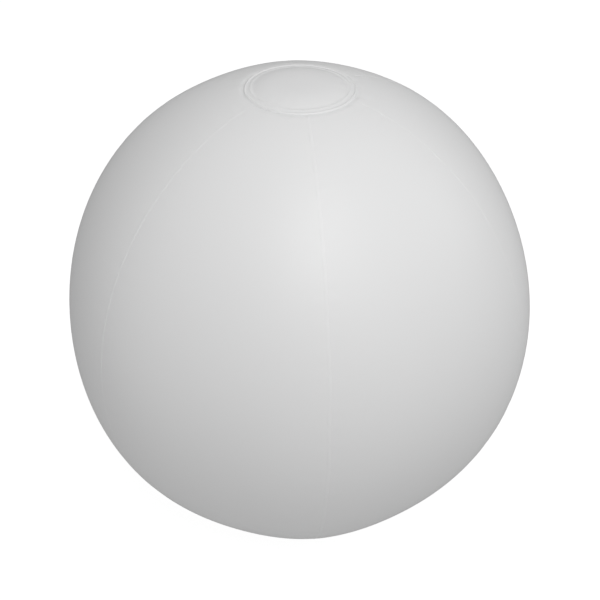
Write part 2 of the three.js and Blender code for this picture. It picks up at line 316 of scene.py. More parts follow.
def circle(radius, count=12):
    """The section of a round wire."""
    return [(radius * math.cos(i * TAU / count), radius * math.sin(i * TAU / count)) for i in range(count)]


def hoop(name, radius, height, wire, material, count=12, segments=96, matrix=None):
    """A round ring of round section, such as a seal."""
    angles = np.arange(segments) * TAU / segments
    path = np.stack([radius * np.cos(angles), radius * np.sin(angles), np.full(segments, height)], axis=1)
    ups = np.tile((0, 0, 1), (segments, 1))
    return sweep(name, path, ups, circle(wire / 2, count), material, True, matrix)


def block(name, size, low, high, material, bevel=0.15, at=(0, 0), matrix=None):
    """An upright box with softened edges."""
    x, y = size[0] / 2, size[1] / 2
    corners = ((-1, -1), (1, -1), (1, 1), (-1, 1))
    points = [(at[0] + i * x, at[1] + j * y, z) for z in (low, high) for i, j in corners]
    faces = [(3, 2, 1, 0), (4, 5, 6, 7), (0, 1, 5, 4), (1, 2, 6, 5), (2, 3, 7, 6), (3, 0, 4, 7)]
    piece = add_mesh(name, points, faces, material, matrix)
    if bevel:
        step = piece.modifiers.new("Bevel", "BEVEL")
        step.width, step.segments = bevel * MM, 3
        apply_modifiers(piece)
    return piece


def coil(name, turns, start, end, wire_width, material, matrix=None):
    """A round wire that winds about Z while its radius and height run from start to end."""
    share = np.linspace(0, 1, int(turns * 40) + 1)
    radius, height = (start[i] + (end[i] - start[i]) * share for i in (0, 1))
    turn = TAU * turns * share
    away = np.stack([np.cos(turn), np.sin(turn), 0 * turn], axis=1)
    path = away * radius[:, None] + np.stack([0 * turn, 0 * turn, height], axis=1)
    return sweep(name, path, away, circle(wire_width / 2, 14), material, matrix=matrix)


def spot(angle, radius):
    """A place at a turn about Z, and out by a radius."""
    return Matrix.Rotation(math.radians(angle), 4, "Z") @ Matrix.Translation((radius * MM, 0, 0))


def helix(radius, start_turn, turns, height_at_zero, lead, steps_per_turn=72):
    """Points of a helix about Z, and the directions away from the axis at them."""
    turn = start_turn + np.linspace(0, turns, int(turns * steps_per_turn) + 1)
    away = np.stack([np.cos(turn * TAU), np.sin(turn * TAU), np.zeros_like(turn)], axis=1)
    return away * radius + np.stack([0 * turn, 0 * turn, height_at_zero + lead * turn], axis=1), away


def thread_rib(name, root, crest, start_turn, turns, height_at_zero, material):
    """A screw thread's rib, with rounded flanks and faded ends."""
    path, away = helix(root, start_turn, turns, height_at_zero, PITCH)
    rise = abs(crest - root)
    outline = np.array(eased([(-0.9, -0.3, 0), (-0.45, rise), (0.45, rise), (0.9, -0.3, 0)], 0.25, 3))
    fade = np.clip(np.minimum(np.arange(len(path)), np.arange(len(path))[::-1]) / 6, 0.15, 1)
    sections = np.repeat(outline[None], len(path), axis=0)
    sections[..., 1] = np.where(sections[..., 1] > 0, sections[..., 1] * fade[:, None], sections[..., 1])
    return sweep(name, path, away * np.sign(crest - root), sections, material)


def ripple(along, seed, length, waves=6):
    """An even, irregular wave of about that length. Each use has its own seed, so every run gives the same."""
    draw = np.random.default_rng(seed)
    total = 0
    for _ in range(waves):
        each = length * draw.uniform(0.65, 1.7)
        total = total + np.sin(TAU * along / each + draw.uniform(0, TAU))
    return total / math.sqrt(waves)


# ------------------------------------------------ the inflated skin
FLATNESS = 0.018  # how much nearer the axis a gore's middle is than its seams
FLAT_FROM, FLAT_SPAN = 0.28, 0.34  # where that sets in from the poles, in shares of the equator's radius
GROOVE_GAP, GROOVE_DEPTH = 0.4, 0.7  # the groove round a pole's disc
GROOVE_OUTSIDE, GROOVE_INSIDE = 1.7, 8.0
SEAM_DIP_REACH = 2.4
SLOW_WAVE = 0.16  # height of the long waves over the whole skin and the dome


def beside(away, start, reach):
    """The strength of the puckers beside a weld: none on it, most a little past start, faded past reach."""
    return np.exp(-away / reach) * (1 - np.exp(-away / start))


class Skin:
    """The surface that the gores, seams and discs follow, in millimetres."""

    def __init__(self, settings):
        self.a = settings.width / MM / 2
        self.c = settings.height / MM / 2
        self.seam_width = settings.seam_width / MM
        self.seam_dip = settings.seam_dip / MM
        self.pucker = settings.pucker / MM
        self.dome_rise = settings.dome_rise / MM

    def latitude(self, radius):
        """The latitude, towards either pole, where the skin is this far from the axis."""
        return math.acos(radius / self.a)

    def rise(self, radius):
        """Height above the lower pole at a distance from the axis."""
        return self.c - self.c * np.sqrt(1 - (np.asarray(radius, float) / self.a) ** 2)

    def along(self, latitude):
        """Roughly the length of film from the equator to a latitude."""
        return latitude * (self.a + self.c) / 2

    def point(self, latitude, longitude, offset=0.0):
        """Points of the skin, moved outwards by an offset. Gores are flatter in their middle."""
        across = np.mod(longitude / GORE_ANGLE, 1)
        slack = np.sin(math.pi * across) ** 2
        cosine, sine = np.cos(latitude), np.sin(latitude)
        fade = np.clip((cosine - FLAT_FROM) / FLAT_SPAN, 0, 1)
        fade = fade * fade * (3 - 2 * fade)
        radius = self.a * cosine * (1 - FLATNESS * slack * fade)
        size = np.hypot(self.c * cosine, self.a * sine)
        radius = radius + offset * self.c * cosine / size
        height = self.c + self.c * sine + offset * self.a * sine / size
        return np.stack([radius * np.cos(longitude), radius * np.sin(longitude), height + 0 * radius], axis=-1)

    def pole_dip(self, latitude):
        """The groove round a welded disc, where the pressed film pulls in."""
        radius = self.a * np.cos(latitude)
        ring = np.where(latitude > 0, TOP_DISC_R, BOTTOM_DISC_R) + GROOVE_GAP
        reach = np.where(radius > ring, GROOVE_OUTSIDE, GROOVE_INSIDE)
        return -GROOVE_DEPTH * np.exp(-(((radius - ring) / reach) ** 2))

    def relief(self, latitude, longitude, gore):
        """The small dips, puckers and waves of one gore's film."""
        across = longitude / GORE_ANGLE - gore
        radius = self.a * np.cos(latitude)
        along = self.along(latitude)
        result = self.pole_dip(latitude)
        for seam, share in ((gore, across), (gore + 1, 1 - across)):
            away = share * GORE_ANGLE * radius
            wave = ripple(along, 10 * (seam % GORES) + gore, 11)
            result = result - self.seam_dip * np.exp(-((away / SEAM_DIP_REACH) ** 2))
            result = result + self.pucker * beside(away, 1.6, 8.5) * wave
        for top, ring in ((True, TOP_DISC_R), (False, BOTTOM_DISC_R)):
            away = np.clip(radius - ring, 0, None)
            wave = ripple(ring * longitude, 71 + top, 9) * beside(away, 1.5, 6)
            result = result + np.where((latitude > 0) == top, 1.3 * self.pucker * wave, 0)
        x, y, z = np.moveaxis(self.point(latitude, longitude), -1, 0)
        return result + SLOW_WAVE * (ripple(x + 0.4 * z, 5, 150) + ripple(y - 0.5 * z, 6, 170))


def valve_latitude(skin):
    """The latitude where the skin leans by the valve's tilt."""
    return math.atan(skin.c / skin.a * math.tan(VALVE_TILT))


def valve_matrix(skin):
    """From the valve's own frame, where +Z points out of the globe, to the row frame."""
    middle = skin.point(np.array(valve_latitude(skin)), np.array(math.radians(90)))
    return Matrix.Translation(Vector(middle * MM)) @ Matrix.Rotation(VALVE_TILT - math.pi / 2, 4, "X")


def build_gores(skin):
    """Six films between the discs, with their rows closer at the poles and their columns at the seams."""
    rows, columns = 190, 46
    row_crowd, column_crowd = 0.55, 0.72
    low, high = -skin.latitude(BOTTOM_HOLE_R), skin.latitude(TOP_HOLE_R)
    down, across = np.linspace(0, 1, rows), np.linspace(0, 1, columns)
    down = down - row_crowd * np.sin(TAU * down) / TAU
    across = across - column_crowd * np.sin(TAU * across) / TAU
    latitude, share = np.meshgrid(low + down * (high - low), across, indexing="ij")
    for gore, side in enumerate(GORE_SIDES):
        longitude = (gore + share) * GORE_ANGLE
        outer = skin.point(latitude, longitude, skin.relief(latitude, longitude, gore))
        piece = add_mesh(f"film_{side}", outer, grid_faces(rows, columns), finish("white_vinyl"))
        thicken(piece)
        if side == "rear":
            hole = revolve("hole", rod(VALVE_HOLE_R, -6, 6), finish("white_vinyl"), 0, 64, valve_matrix(skin))
            tidy_mesh(piece)
            combine(piece, "DIFFERENCE", hole)
        place(piece, "globe", "white_vinyl", f"gore_{side}", sharp=50)


def build_seams(skin):
    """The welded bands over the gores' meeting lines: low, rounded and finely ribbed."""
    steps, crown, root, lift, lap = 620, 0.13, -0.3, 0.02, 1
    half = skin.seam_width / 2
    side = np.linspace(-half, half, 11)
    top = crown * np.cos(side / half * math.pi / 2) ** 0.8
    outline = np.array([(-half, root), *zip(side, top), (half, root)])[::-1]
    latitude = np.linspace(-skin.latitude(BOTTOM_DISC_R - lap), skin.latitude(TOP_DISC_R - lap), steps)
    along = skin.along(latitude)
    for seam in range(GORES):
        wander = 0.16 * ripple(along, 40 + seam, 60) / (skin.a * np.cos(latitude))
        longitude = np.full(steps, seam * GORE_ANGLE) + wander
        offset = skin.relief(latitude, longitude, seam) + lift
        path = skin.point(latitude, longitude, offset)
        ups = skin.point(latitude, longitude, offset + 1) - path
        sections = np.repeat(outline[None], steps, axis=0)
        ribs = 0.02 * np.sin(TAU * along / 2.6) + 0.035 * ripple(along, 50 + seam, 22)
        sections[..., 1] += np.where(sections[..., 1] > 0.01, ribs[:, None], 0)
        piece = sweep(f"seam_{seam + 1}", path, ups, sections, finish("weld_vinyl"))
        place(piece, "globe", "white_vinyl", sharp=60)


def ring_sheet(name, radii, angles, height, material):
    """A round film: height is a function of radius and angle."""
    radius, angle = np.meshgrid(radii, angles, indexing="ij")
    points = np.stack([radius * np.cos(angle), radius * np.sin(angle), height(radius, angle)], axis=-1)
    return add_mesh(name, points, grid_faces(len(radii), len(angles), wrap_columns=True), material)


def beads(radius, places, width, height):
    """Pressed rings of a weld."""
    return sum(height * np.exp(-(((radius - place) / width) ** 2)) for place in places)


def build_top_disc(skin):
    """The upper disc: a flat weld with one strong and one faint bead, and a shallow dome inside it."""
    sink = 0.3  # how far the weld lies below the skin
    edge = float(skin.rise(DOME_R))

    def height(radius, angle):
        bead_at = radius - 0.12 * ripple(angle * 38, 61, 30)
        pressed = beads(bead_at, (39.2,), 0.7, 0.6) + beads(bead_at, (35.4,), 0.8, 0.25)
        share = np.clip(radius / DOME_R, 0, 1)
        dome = skin.dome_rise * np.clip(1 - share**3.2, 0, 1) - edge
        crease = beside(np.clip(DOME_R - radius, 0, None), 1.2, 5) * ripple(DOME_R * angle, 62, 9)
        slow = (1 - share**2) * ripple(radius * np.cos(angle - 0.6), 63, 34)
        dome = dome + 0.14 * crease + SLOW_WAVE * slow
        return 2 * skin.c - sink + np.where(radius > DOME_R, pressed - skin.rise(radius), dome)

    share = np.linspace(0, 1, 40)[1:]
    centre, first = 0.001, DOME_R + 0.2
    radii = np.concatenate([[centre], DOME_R * np.sin(share * math.pi / 2), np.linspace(first, TOP_DISC_R, 34)])
    piece = ring_sheet("disc_top", radii, np.arange(192) * TAU / 192, height, finish("white_vinyl"))
    tidy_mesh(piece)
    thicken(piece)
    place(piece, "globe", "white_vinyl", "top_disc", sharp=60)


def build_bottom_disc(skin):
    """The lower disc: a ring with four beads round the opening, thickened outwards from the film."""
    lift = 0.15

    def height(radius, angle):
        wave = 0.12 * ripple(angle * 48, 64, 30)
        return skin.rise(radius) + lift - beads(radius - wave, (48.9, 46.6, 41.2, 39.4), 0.5, 0.3)

    radii, angles = np.linspace(OPENING_R, BOTTOM_DISC_R, 50), np.arange(192) * TAU / 192
    piece = ring_sheet("disc_bottom", radii, angles, height, finish("white_vinyl"))
    thicken(piece, -FILM)
    place(piece, "globe", "white_vinyl", "bottom_disc", sharp=60)


def build_socket(skin):
    """The soft cup that takes the light unit, with a flange under the disc, and the clear film over its top."""
    outer, flange, lip, sole = SOCKET_R + SOCKET_WALL, BOTTOM_HOLE_R - 0.6, 1.2, 2.6
    low, top = float(skin.rise(outer)), float(skin.rise(flange))
    outline = [(SOCKET_R, sole), (outer, sole), (outer, low, 0), (flange, top), (flange, top + lip),
               (outer, low + lip, 1.0), (outer, SOCKET_TOP), (SOCKET_R, SOCKET_TOP)]
    turned("socket_cup", outline, "soft_vinyl", "globe", "light_socket", 0.5, 128)
    low = SOCKET_TOP + 0.3
    outline = [(0, low + 0.05), (outer - 3, low + 0.05), (outer - 2.2, low), (outer, low, 0.1),
               (outer, low + 0.5, 0.2), (outer - 2.4, low + 0.5), (outer - 3.2, low + 0.42), (0, low + 0.42)]
    turned("window_film", outline, "clear_vinyl", "globe", "socket_window", 0.2, 128)


# ------------------------------------------------ the valve, in its own frame
def build_valve(skin):
    matrix = valve_matrix(skin)
    outline = [(9, -3), (16, -3), (16, -2.3), (11.1, -2, 0.5), (10.8, -0.2), (10.3, 0.2), (9.6, 0.2), (9, -0.2)]
    turned("valve_seat", outline, "soft_vinyl", "globe", "valve_flange", 0.3, 96, matrix)
    build_valve_weld(skin, matrix)
    build_valve_stem(matrix)
    build_valve_plug(matrix)
    build_valve_flap(matrix)


def build_valve_weld(skin, matrix):
    """The pressed ring on the outside of the film, over the seat's flange."""
    rows, columns, lift = 30, 96, 0.1
    radii, angles = np.linspace(VALVE_HOLE_R - 0.15, VALVE_WELD_R, rows), np.arange(columns) * TAU / columns
    radius, angle = (grid.reshape(-1) for grid in np.meshgrid(radii, angles, indexing="ij"))
    flat = np.stack([radius * np.cos(angle), radius * np.sin(angle), 0 * radius], axis=-1)
    turn, origin = np.array(matrix.to_3x3()), np.array(matrix.translation) / MM
    world = flat @ turn.T + origin
    longitude = np.arctan2(world[:, 1], world[:, 0])
    latitude = np.full(len(flat), valve_latitude(skin))
    for _ in range(12):  # slides each point along the valve's axis onto the skin
        local = (skin.point(latitude, longitude) - origin) @ turn
        error = flat - local
        longitude = longitude - error[:, 0] / (skin.a * np.cos(latitude))
        latitude = latitude - error[:, 1] / skin.c
    local = (skin.point(latitude, longitude) - origin) @ turn
    height = local[:, 2] + lift + beads(radius, (12.3, 13.7, 15.1), 0.42, 0.22)
    ring = np.stack([flat[:, 0], flat[:, 1], height], axis=-1)
    faces = grid_faces(rows, columns, wrap_columns=True)
    piece = add_mesh("valve_weld", ring, faces, finish("weld_vinyl"), matrix)
    thicken(piece, 0.3)
    place(piece, "globe", "white_vinyl", sharp=60)


def build_valve_stem(matrix):
    """The tube, and the flexible ring that joins it to the seat."""
    outline = [(3.4, -15), (5.2, -15), (TUBE_R, -14.4), (TUBE_R, -3.2), (5.5, -3), (3.4, -3)]
    turned("valve_tube", outline, "soft_vinyl", "valve_stem", "valve_stem", 0.25, 64, matrix)
    outline = [(9.1, -3.5), (8.0, -3.75), (6.8, -4.75), (5.7, -4.95), (5.7, -4.4), (6.6, -4.2), (7.8, -3.2),
               (9.1, -3)]
    piece = turned("valve_bellows", outline, "soft_vinyl", None, "valve_skirt", 0.3, 64, matrix)
    start, end = (matrix @ Vector((0, 0, z * MM)) for z in (-3.5, -4.4))
    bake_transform(piece)
    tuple(start)
    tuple(end)


def build_valve_plug(matrix):
    """The plug, and the strap that runs half round it from the stem."""
    outline = [(0, -9), (2.5, -9), (3.05, -8.2), (3.05, -2.7), (5.6, -2.7), (5.6, -1.7), (4.8, -1.1),
               (2, -0.95), (0, -1)]
    turned("valve_stopper", outline, "soft_vinyl", "valve_plug", "valve_plug", 0.3, 64, matrix)
    share = np.linspace(0, 1, 60)
    inset = np.clip(1 - np.minimum(share, 1 - share) / 0.09, 0, 1) ** 2  # draws both ends in to what they hold
    turn, radius = math.pi * share, 6.9 - 1.5 * inset
    path = np.stack([radius * np.cos(turn), radius * np.sin(turn), -2.2 - 0.55 * inset * (share < 0.5)], axis=1)
    ups = np.tile((0, 0, 1), (len(path), 1))
    piece = sweep("valve_tether", path, ups, strip(1.1, 0.8, 0.2), finish("soft_vinyl"), matrix=matrix)
    place(piece, None, "soft_vinyl", "plug_strap")
    start, end = (matrix @ Vector((x * MM, 0, 0)) for x in (5, -5))
    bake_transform(piece)
    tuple(start)
    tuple(end)


def build_valve_flap(matrix):
    """The one-way flap, and the strip that it swings on: down the tube, round its edge and behind the flap."""
    turned("valve_disc", rod(5, -15.9, -15.3), "soft_vinyl", "valve_flap", "valve_flap", 0.2, 48, matrix)
    bend, centre, low = 0.8, TUBE_R - 0.8, -15.2
    path = [(TUBE_R, 0, z) for z in np.linspace(-13.4, low, 8)]
    for turn in np.linspace(0.1, math.pi / 2, 12):
        path.append((centre + bend * math.cos(turn), 0, low - bend * math.sin(turn)))
    path += [(4.6, 0, low - bend), (4.2, 0, low - bend)]
    ups = np.tile((0, 1, 0), (len(path), 1))
    piece = sweep("flap_hinge", path, ups, strip(0.3, 2.6, 0.1), finish("soft_vinyl"), matrix=matrix)
    place(piece, None, "soft_vinyl")
    start, end = (matrix @ Vector((0, 0, z * MM)) for z in (-14.9, -15.7))
    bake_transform(piece)
    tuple(start)
    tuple(end)


# ------------------------------------------------ the light unit
def build_housing():
    """The round shell, with the cap's thread inside its foot and two posts for the board's screws."""
    shell = finish("white_shell")
    outline = [(32.9, 0), (34.2, 0), (UNIT_R, 0.8, 0.4), (UNIT_R, 33.4), (33.4, 33.4), (33.4, 30), (31.4, 30),
               (31.4, 27.6), (28.6, 27.6), (28.6, 26.4), (31.4, 26.4), (31.4, 12.6), (32.3, 12.6), (32.3, 5.4),
               (32.6, 5.4), (32.6, 0.4)]
    piece = revolve("housing_shell", outline, shell, 0.25, 128)
    rib = thread_rib("rib", 32.4, 31.0, -0.625, 1.25, 8.9, shell)
    places = [Matrix.Translation((0, side * SCREW_CIRCLE * MM, 0)) for side in (-1, 1)]
    posts = [revolve("post", rod(3, 20, 27.4), shell, 0.3, 40, at) for at in places]
    combine(piece, "UNION", rib, *posts)
    holes = [revolve("hole", rod(SCREW_HOLE_R, 22.6, 30), shell, 0, 24, at) for at in places]
    combine(piece, "DIFFERENCE", *holes)
    place(piece, "light_unit", "white_shell", "light_housing")


def build_lens():
    """The frosted dome, the ring that holds it down, and the gasket under it."""
    outline = [(0, 36.1), (12, 35.8), (22, 34.7), (27.6, 33.2), (28.6, 31.8), (33.1, 31.8), (33.1, 33.1),
               (30.4, 33.1, 0.1), (28.8, 34.6, 1.2), (22, 36.2, 5), (12, 37.2, 6), (0, 37.5)]
    turned("lens_dome", outline, "frosted_lens", "light_unit", "lens", 0.35, 128)
    outline = [(30.9, 33.4), (33.1, 33.4, 0.1), (33.1, 33.7, 0.1), (UNIT_R, 33.7), (UNIT_R, 34.4), (34.2, 35.2),
               (32, 35.2), (30.9, 34.6)]
    turned("lens_bezel", outline, "white_shell", "light_unit", "lens_ring", 0.25, 128)
    piece = hoop("lens_gasket", 32.4, 30.9, 1.1, finish("silicone"))
    place(piece, "light_unit", "silicone", "lens_seal")


def build_cap():
    """The screw cap with its finger dimples and board posts, its gasket, and the soft button in its middle."""
    shell, rubber = finish("white_shell"), finish("silicone")
    outline = [(7.2, 0.9), (31.6, 0.9), (32.1, 1.4), (32.1, 3.4), (30.6, 3.4, 0.1), (30.6, 12), (28.9, 12),
               (28.9, 3.4, 0.6), (7.2, 3.4)]
    piece = revolve("cap_plate", outline, shell, 0.3, 128)
    rib = thread_rib("rib", 30.5, 31.9, 0.0, 1.0, 6.9, shell)
    posts = [revolve("post", rod(2.2, 3, 8.3), shell, 0.3, 32, spot(angle, 20.5)) for angle in (90, 210, 330)]
    combine(piece, "UNION", rib, *posts)
    dimple, grips = [(0, 0), (7.0, 0), (6.5, 1.2), (5.9, 2.2), (0, 2.2)], []
    for side in (-1, 1):
        grips.append(revolve("grip", dimple, shell, 0.5, 64, Matrix.Translation((side * 19 * MM, 0, 0))))
    combine(piece, "DIFFERENCE", *grips)
    place(piece, "battery_cap", "white_shell", "battery_cap")

    place(hoop("cap_gasket", 31.5, 4.5, 1.1, rubber), "cap_seal", "silicone", "cap_seal")

    outline = [(0, 1.5), (3.4, 1.42), (5.4, 1.3), (6.6, 2), (6.6, 4.5), (0, 4.5)]
    turned("button_pad", outline, "silicone", "power_button", "power_button", 0.5)
    outline = [(6.4, 4.05), (7.4, 4.05), (8.2, 3.85), (9, 3.58), (9.6, 3.45), (11.5, 3.45), (11.5, 3.95),
               (9.8, 3.95), (9.2, 4.05), (8.4, 4.35), (7.6, 4.55), (6.4, 4.55)]
    piece = turned("button_skirt", outline, "silicone", None, "button_diaphragm", 0.2)
    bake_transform(piece)


# ------------------------------------------------ inside the light unit
def build_emitter():
    """The LED board with its reflector, LEDs, driver chip and screws, and the two pins that feed it."""
    board, metal, cream = finish("circuit_board"), finish("nickel"), finish("led_package")
    outline = [(0, 30.2), (23.2, 30.2), (24, 31.4), (23, 31.4), (22.4, 30.8), (0, 30.8)]
    piece = revolve("reflector_dish", outline, finish("bright_reflector"), 0.12, 96)
    cup = [(0, 29), (2.7, 29), (2.7, 30.3), (3.2, 30.9), (3.2, 32), (0, 32)]
    combine(piece, "DIFFERENCE", *[revolve("cup", cup, board, 0, 40, spot(a, LED_CIRCLE)) for a in LED_ANGLES])
    place(piece, "light_unit", "bright_reflector", "reflector")

    piece = revolve("emitter_board", rod(30.9, 27.9, 29.5), board, 0.15, 128)
    drill = rod(SCREW_HOLE_R, 27, 30)
    holes = [revolve("drill", drill, board, 0, 24, spot(a, SCREW_CIRCLE)) for a in reversed(SCREW_ANGLES)]
    combine(piece, "DIFFERENCE", *holes)
    place(piece, "light_unit", "circuit_board", "led_board")

    bulge = [(0, 30.5), (1.35, 30.5), (1.35, 30.75, 0), (0.8, 30.95), (0, 31)]
    for i, angle in enumerate(LED_ANGLES):
        at = spot(angle, LED_CIRCLE)
        piece = block(f"emitter_{i + 1}", (3.5, 3.5), 29.8, 30.75, cream, 0.18, matrix=at)
        combine(piece, "UNION", revolve("bulge", bulge, cream, 0.1, 32, at))
        place(piece, "light_unit", "led_package", f"led_{i + 1}")

    piece = block("driver_case", (5, 6.2), 26, 27.6, finish("black_plastic"), 0.25)
    dot = revolve("dot", rod(0.45, 25, 26.15), metal, 0, 20, Matrix.Translation((-1.6 * MM, 2.2 * MM, 0)))
    combine(piece, "DIFFERENCE", dot)
    place(piece, "light_unit", "black_plastic", "driver_chip")

    screw = [(0, 23.2), (0.85, 23.8), (0.85, 29.8), (1.9, 29.8, 0.1), (1.9, 30.4, 0.3), (1.3, 31, 0.3), (0, 31)]
    cross = ((2.4, 0.5), (0.5, 2.4))
    for i, angle in enumerate(SCREW_ANGLES):
        piece = revolve(f"screw_{i + 1}", screw, metal, 0.1, 40, spot(angle, SCREW_CIRCLE))
        at = spot(angle + 20, SCREW_CIRCLE)
        combine(piece, "DIFFERENCE", *[block("slot", size, 30.5, 32, metal, 0, matrix=at) for size in cross])
        place(piece, "light_unit", "nickel", f"board_screw_{i + 1}")
        at = Matrix.Translation((CONTACT_X * MM, (-1, 1)[i] * CELL_SPACING * MM, 0))
        turned(f"pin_{i + 1}", rod(0.8, 25.9, 27.6), "nickel", "light_unit", f"board_pin_{i + 1}", 0.15, 32, at)


def build_cells():
    """The tray, three cells side by side, and a plate and a spring at the ends of each."""
    black, metal = finish("black_plastic"), finish("nickel")
    piece = revolve("tray", rod(30.4, 12.9, 14.4), black, 0.3, 128)
    walls = [block("wall", (1.6, 25.6), 14, 25.6, black, 0.2, (side * 26.7, 0)) for side in (-1, 1)]
    ribs = [block("rib", (52, 1), 14, 17, black, 0.2, (0, side * CELL_SPACING / 2)) for side in (-1, 1)]
    place(combine(piece, "UNION", *walls, *ribs), "light_unit", "black_plastic", "cell_tray")

    half, radius = 22.25, 5.25
    case = [(0, -half), (radius - 0.5, -half), (radius, 0.5 - half), (radius, half - 1.6),
            (radius - 0.25, half - 1.35), (radius - 0.6, half - 1), (1.9, half - 1, 0.1), (1.9, half), (0, half)]
    lie = Matrix.Rotation(math.pi / 2, 4, "Y")
    for i, row in enumerate((-1, 0, 1)):
        turn = 0 if row else math.pi  # the middle cell lies the other way round, to put them in series
        at = Matrix.Translation((0, row * CELL_SPACING * MM, CELL_Z * MM)) @ Matrix.Rotation(turn, 4, "Z")
        turned(f"battery_{i + 1}", case, "cell_jacket", "light_unit", f"cell_{i + 1}", 0.3, 64, at @ lie)
        piece = block(f"contact_{i + 1}", (0.4, 7), -3.6, 4.8, metal, 0.1, (CONTACT_X, 0), at)
        boss = revolve("boss", [(0, 22.5), (1.4, 22.5), (2.4, 25.3), (0, 25.3)], metal, 0.3, 40, at @ lie)
        place(combine(piece, "UNION", boss), "light_unit", "nickel", f"contact_plate_{i + 1}")
        back = at @ Matrix.Rotation(math.pi, 4, "Z")
        piece = coil(f"spring_{i + 1}", 2.5, (2.2, 22.9), (3.5, 25.3), 0.7, metal, back @ lie)
        place(piece, "light_unit", "nickel", f"contact_spring_{i + 1}")
    turned("track", rod(TRACK_OUT, 12.3, 12.6, TRACK_IN), "nickel", "light_unit", "tray_ring_track", 0.06)
    turned("pad", rod(5, 12.3, 12.6), "nickel", "light_unit", "tray_centre_pad", 0.06, 64)


def build_switch():
    """The switch and its board on the battery cap, and the spring and ring that touch the tray's tracks."""
    black, metal = finish("black_plastic"), finish("nickel")
    piece = block("switch_case", (9, 9), 5.2, 8.3, black, 0.35)
    combine(piece, "DIFFERENCE", revolve("bore", rod(2.2, 5, 7.9), black, 0, 48))
    place(piece, "battery_cap", "black_plastic", "switch_body")
    turned("switch_stem", rod(1.9, 4.8, 6.6), "silicone", "switch_plunger", "switch_plunger", 0.3, 48)
    turned("control_board", rod(24, 8.6, 10), "circuit_board", "battery_cap", "switch_board", 0.15, 128)
    piece = coil("cap_spring", 2.5, (4, 10.7), (2.2, 11.8), 0.6, metal)
    place(piece, "battery_cap", "nickel", "switch_spring")
    piece = revolve("cap_contact", rod(TRACK_OUT, 10.3, 10.6, TRACK_IN), metal, 0.06, 96)
    finger = [(0, 10.4), (1.3, 10.4), (1.3, 11.2), (0.9, 11.9, 0.4), (0, 12)]
    places = [spot(angle, (TRACK_IN + TRACK_OUT) / 2) for angle in (0, 120, 240)]
    combine(piece, "UNION", *[revolve("finger", finger, metal, 0.2, 32, at) for at in places])
    place(piece, "battery_cap", "nickel", "switch_ring_contact")


# ------------------------------------------------ node helpers
def node(tree, kind, at, **values):
    """A node at a place in the editor, with its own values set."""
    made = tree.nodes.new(kind)
    made.location = at
    for name, value in values.items():
        setattr(made, name, value)
    return made


def preset(made, **values):
    """Values of a node's input sockets."""
    for name, value in values.items():
        made.inputs[name.replace("_", " ")].default_value = value
    return made


def wire(tree, *links):
    for start, end in links:
        tree.links.new(start, end)


def new_group(name, inputs, outputs):
    """An empty shader group with its sockets, and its two end nodes."""
    group = bpy.data.node_groups.new(name, "ShaderNodeTree")
    for way, rows in (("INPUT", inputs), ("OUTPUT", outputs)):
        for socket, form in rows.items():
            group.interface.new_socket(name=socket, in_out=way, socket_type=f"NodeSocket{form}")
    return group, node(group, "NodeGroupInput", (-900, 0)), node(group, "NodeGroupOutput", (500, 0))


def effect(tree, build, at, **values):
    """A shared effect, placed in one material with its own values. Its group is built once."""
    group = bpy.data.node_groups.get(build.__name__) or build()
    return preset(node(tree, "ShaderNodeGroup", at, node_tree=group), **values)


# ------------------------------------------------ shared effects
def film_haze():
    """Slow changes of tone and gloss over a film, and a fine grain."""
    group, enter, leave = new_group(
        "film_haze",
        {"Color": "Color", "Tone": "Float", "Roughness": "Float", "Scale": "Float"},
        {"Color": "Color", "Roughness": "Float", "Height": "Float"},
    )
    where = node(group, "ShaderNodeTexCoord", (-900, -300))
    cloud = preset(node(group, "ShaderNodeTexNoise", (-600, 100)), Detail=3)
    fine = preset(node(group, "ShaderNodeTexNoise", (-600, -250)), Scale=900, Detail=2)
    darkest = node(group, "ShaderNodeMath", (-450, 350), operation="SUBTRACT")
    darkest.inputs[0].default_value = 1
    tone = preset(node(group, "ShaderNodeMapRange", (-300, 150)), To_Min=1)
    shade = node(group, "ShaderNodeVectorMath", (0, 150), operation="SCALE")
    rough = node(group, "ShaderNodeMath", (0, -100), operation="MULTIPLY_ADD")
    rough.inputs[1].default_value = 0.08
    wire(group,
         (where.outputs["Object"], cloud.inputs["Vector"]), (where.outputs["Object"], fine.inputs["Vector"]),
         (enter.outputs["Scale"], cloud.inputs["Scale"]), (cloud.outputs["Fac"], tone.inputs["Value"]),
         (enter.outputs["Tone"], darkest.inputs[1]), (darkest.outputs[0], tone.inputs["To Max"]),
         (enter.outputs["Color"], shade.inputs[0]), (tone.outputs["Result"], shade.inputs["Scale"]),
         (shade.outputs["Vector"], leave.inputs["Color"]), (cloud.outputs["Fac"], rough.inputs[0]),
         (enter.outputs["Roughness"], rough.inputs[2]), (rough.outputs[0], leave.inputs["Roughness"]),
         (fine.outputs["Fac"], leave.inputs["Height"]))
    return group


